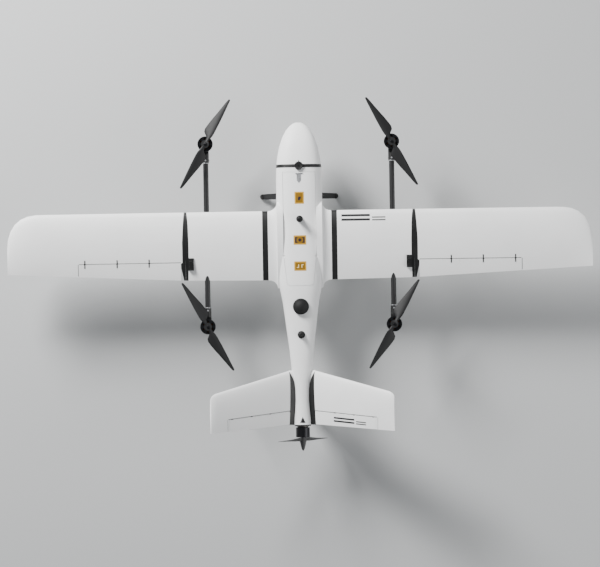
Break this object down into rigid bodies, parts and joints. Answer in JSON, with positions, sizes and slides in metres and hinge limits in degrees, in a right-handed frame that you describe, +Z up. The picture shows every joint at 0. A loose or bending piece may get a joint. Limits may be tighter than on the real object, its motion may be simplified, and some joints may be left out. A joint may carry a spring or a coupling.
{
  "type": "fixed wing vtol drone",
  "caption": "Foam fixed wing drone with four lift rotors on twin booms, a pusher propeller, a V tail, ailerons and plug-in outer wings.",
  "frame": {"origin": "on the ground, at the middle of the outline seen from above", "axes": "+Z up, the nose points along -Y and the left wing along +X"},
  "size_m": [2.178, 1.3152, 0.4117],
  "materials": {
    "foam": "matte white expanded foam",
    "black_plastic": "satin black moulded nylon",
    "carbon": "satin carbon fibre",
    "propeller": "satin black carbon composite",
    "steel": "brushed stainless steel",
    "motor_metal": "anodised dark grey aluminium",
    "stator": "copper windings on a steel stack",
    "rubber": "black rubber",
    "white_plastic": "white nylon",
    "battery_wrap": "dark blue shrink wrap"
  },
  "bodies": {
    "airframe": {"fuselage_shell": "foam", "nose_ring": "black_plastic", "equipment_tray": "carbon", "battery_pack": "battery_wrap", "autopilot": "black_plastic", "gps_puck": "black_plastic", "rear_antenna": "black_plastic", "carbon_spars": "carbon", "root_ribs": "black_plastic", "mid_wing_left": "foam", "mid_wing_right": "foam", "joint_ribs": "black_plastic", "booms": "carbon", "boom_saddles": "black_plastic", "motor_mounts": "black_plastic", "motor_stators": "stator", "mount_screws": "steel", "pusher_mount": "black_plastic", "gear_bow": "carbon", "gear_feet": "rubber", "tail_skid": "black_plastic", "tail_fairings": "black_plastic", "v_tail_left": "foam", "v_tail_right": "foam", "tail_servos": "black_plastic"},
    "nose_cover": {"nose_cover": "foam"},
    "nose_latch": {"nose_latch": "black_plastic"},
    "top_hatch": {"top_hatch": "foam", "hatch_keeper": "steel", "front_antenna": "black_plastic"},
    "outer_wing_left": {"outer_wing_left": "foam", "outer_rib_left": "black_plastic", "aileron_servo_left": "black_plastic"},
    "wing_latch_left": {"wing_latch_left": "black_plastic"},
    "aileron_left": {"aileron_left": "foam"},
    "ruddervator_left": {"ruddervator_left": "foam"},
    "aileron_arm_left": {"aileron_arm_left": "white_plastic"},
    "tail_arm_left": {"tail_arm_left": "white_plastic"},
    "aileron_rod_left": {"aileron_rod_left": "steel"},
    "tail_rod_left": {"tail_rod_left": "steel"},
    "outer_wing_right": {"outer_wing_right": "foam", "outer_rib_right": "black_plastic", "aileron_servo_right": "black_plastic"},
    "wing_latch_right": {"wing_latch_right": "black_plastic"},
    "aileron_right": {"aileron_right": "foam"},
    "ruddervator_right": {"ruddervator_right": "foam"},
    "aileron_arm_right": {"aileron_arm_right": "white_plastic"},
    "tail_arm_right": {"tail_arm_right": "white_plastic"},
    "aileron_rod_right": {"aileron_rod_right": "steel"},
    "tail_rod_right": {"tail_rod_right": "steel"},
    "rotor_front_left": {"rotor_bell_front_left": "motor_metal", "propeller_front_left": "propeller"},
    "rotor_front_right": {"rotor_bell_front_right": "motor_metal", "propeller_front_right": "propeller"},
    "rotor_rear_left": {"rotor_bell_rear_left": "motor_metal", "propeller_rear_left": "propeller"},
    "rotor_rear_right": {"rotor_bell_rear_right": "motor_metal", "propeller_rear_right": "propeller"},
    "pusher_rotor": {"pusher_bell": "motor_metal", "pusher_propeller": "propeller"}
  },
  "joints": [
    {"name": "nose_cover_slide", "type": "slide", "parent": "airframe", "child": "nose_cover", "axis": [0, -1, 0], "range_m": [0, 0.06]},
    {"name": "nose_latch_turn", "type": "hinge", "parent": "airframe", "child": "nose_latch", "pos_m": [0, -0.40618, 0.252], "axis": [0, 0, 1], "range_deg": [0, 90]},
    {"name": "top_hatch_lift", "type": "slide", "parent": "airframe", "child": "top_hatch", "axis": [0, 0, 1], "range_m": [0, 0.12]},
    {"name": "outer_wing_left_slide", "type": "slide", "parent": "airframe", "child": "outer_wing_left", "axis": [1, 0, 0], "range_m": [0, 0.08]},
    {"name": "wing_latch_left_press", "type": "slide", "parent": "airframe", "child": "wing_latch_left", "axis": [0, -0.0523, -0.9986], "range_m": [0, 0.003], "stiffness_N_per_m": 300, "springref_m": -0.001},
    {"name": "aileron_left_hinge", "type": "hinge", "parent": "outer_wing_left", "child": "aileron_left", "pos_m": [0.44471, -0.05132, 0.21693], "axis": [0.999, 0.0023, 0.0437], "range_deg": [-25, 25]},
    {"name": "aileron_arm_left_turn", "type": "hinge", "parent": "outer_wing_left", "child": "aileron_arm_left", "pos_m": [0.59457, -0.14285, 0.22831], "axis": [0.999, 0.0023, 0.0437], "range_deg": [-25, 25]},
    {"name": "aileron_rod_left_turn", "type": "hinge", "parent": "aileron_arm_left", "child": "aileron_rod_left", "pos_m": [0.59559, -0.14408, 0.20484], "axis": [0.999, 0.0023, 0.0437], "range_deg": [-25, 25]},
    {"name": "ruddervator_left_hinge", "type": "hinge", "parent": "airframe", "child": "ruddervator_left", "pos_m": [0.04896, 0.50782, 0.20988], "axis": [0.8179, 0.0817, 0.5696], "range_deg": [-25, 25]},
    {"name": "tail_arm_left_turn", "type": "hinge", "parent": "airframe", "child": "tail_arm_left", "pos_m": [0.13148, 0.44382, 0.26736], "axis": [0.8179, 0.0817, 0.5696], "range_deg": [-25, 25]},
    {"name": "tail_rod_left_turn", "type": "hinge", "parent": "tail_arm_left", "child": "tail_rod_left", "pos_m": [0.14042, 0.44382, 0.25451], "axis": [0.8179, 0.0817, 0.5696], "range_deg": [-25, 25]},
    {"name": "outer_wing_right_slide", "type": "slide", "parent": "airframe", "child": "outer_wing_right", "axis": [-1, 0, 0], "range_m": [0, 0.08]},
    {"name": "wing_latch_right_press", "type": "slide", "parent": "airframe", "child": "wing_latch_right", "axis": [0, -0.0523, -0.9986], "range_m": [0, 0.003], "stiffness_N_per_m": 300, "springref_m": -0.001},
    {"name": "aileron_right_hinge", "type": "hinge", "parent": "outer_wing_right", "child": "aileron_right", "pos_m": [-0.44471, -0.05132, 0.21693], "axis": [0.999, -0.0023, -0.0437], "range_deg": [-25, 25]},
    {"name": "aileron_arm_right_turn", "type": "hinge", "parent": "outer_wing_right", "child": "aileron_arm_right", "pos_m": [-0.59457, -0.14285, 0.22831], "axis": [0.999, -0.0023, -0.0437], "range_deg": [-25, 25]},
    {"name": "aileron_rod_right_turn", "type": "hinge", "parent": "aileron_arm_right", "child": "aileron_rod_right", "pos_m": [-0.59559, -0.14408, 0.20484], "axis": [0.999, -0.0023, -0.0437], "range_deg": [-25, 25]},
    {"name": "ruddervator_right_hinge", "type": "hinge", "parent": "airframe", "child": "ruddervator_right", "pos_m": [-0.04896, 0.50782, 0.20988], "axis": [0.8179, -0.0817, -0.5696], "range_deg": [-25, 25]},
    {"name": "tail_arm_right_turn", "type": "hinge", "parent": "airframe", "child": "tail_arm_right", "pos_m": [-0.13148, 0.44382, 0.26736], "axis": [0.8179, -0.0817, -0.5696], "range_deg": [-25, 25]},
    {"name": "tail_rod_right_turn", "type": "hinge", "parent": "tail_arm_right", "child": "tail_rod_right", "pos_m": [-0.14042, 0.44382, 0.25451], "axis": [0.8179, -0.0817, -0.5696], "range_deg": [-25, 25]},
    {"name": "rotor_front_left_spin", "type": "hinge", "parent": "airframe", "child": "rotor_front_left", "pos_m": [0.347, -0.49218, 0.22756], "axis": [0, 0, 1], "continuous": true},
    {"name": "rotor_front_right_spin", "type": "hinge", "parent": "airframe", "child": "rotor_front_right", "pos_m": [-0.347, -0.49218, 0.22756], "axis": [0, 0, 1], "continuous": true},
    {"name": "rotor_rear_left_spin", "type": "hinge", "parent": "airframe", "child": "rotor_rear_left", "pos_m": [0.347, 0.18782, 0.22756], "axis": [0, 0, 1], "continuous": true},
    {"name": "rotor_rear_right_spin", "type": "hinge", "parent": "airframe", "child": "rotor_rear_right", "pos_m": [-0.347, 0.18782, 0.22756], "axis": [0, 0, 1], "continuous": true},
    {"name": "pusher_spin", "type": "hinge", "parent": "airframe", "child": "pusher_rotor", "pos_m": [0, 0.61582, 0.19], "axis": [0, 1, 0], "continuous": true}
  ],
  "couplings": [
    {"joint": "aileron_arm_left_turn", "follows": "aileron_left_hinge", "ratio": 1},
    {"joint": "aileron_rod_left_turn", "follows": "aileron_left_hinge", "ratio": -1},
    {"joint": "tail_arm_left_turn", "follows": "ruddervator_left_hinge", "ratio": 1},
    {"joint": "tail_rod_left_turn", "follows": "ruddervator_left_hinge", "ratio": -1},
    {"joint": "aileron_arm_right_turn", "follows": "aileron_right_hinge", "ratio": 1},
    {"joint": "aileron_rod_right_turn", "follows": "aileron_right_hinge", "ratio": -1},
    {"joint": "tail_arm_right_turn", "follows": "ruddervator_right_hinge", "ratio": 1},
    {"joint": "tail_rod_right_turn", "follows": "ruddervator_right_hinge", "ratio": -1}
  ]
}
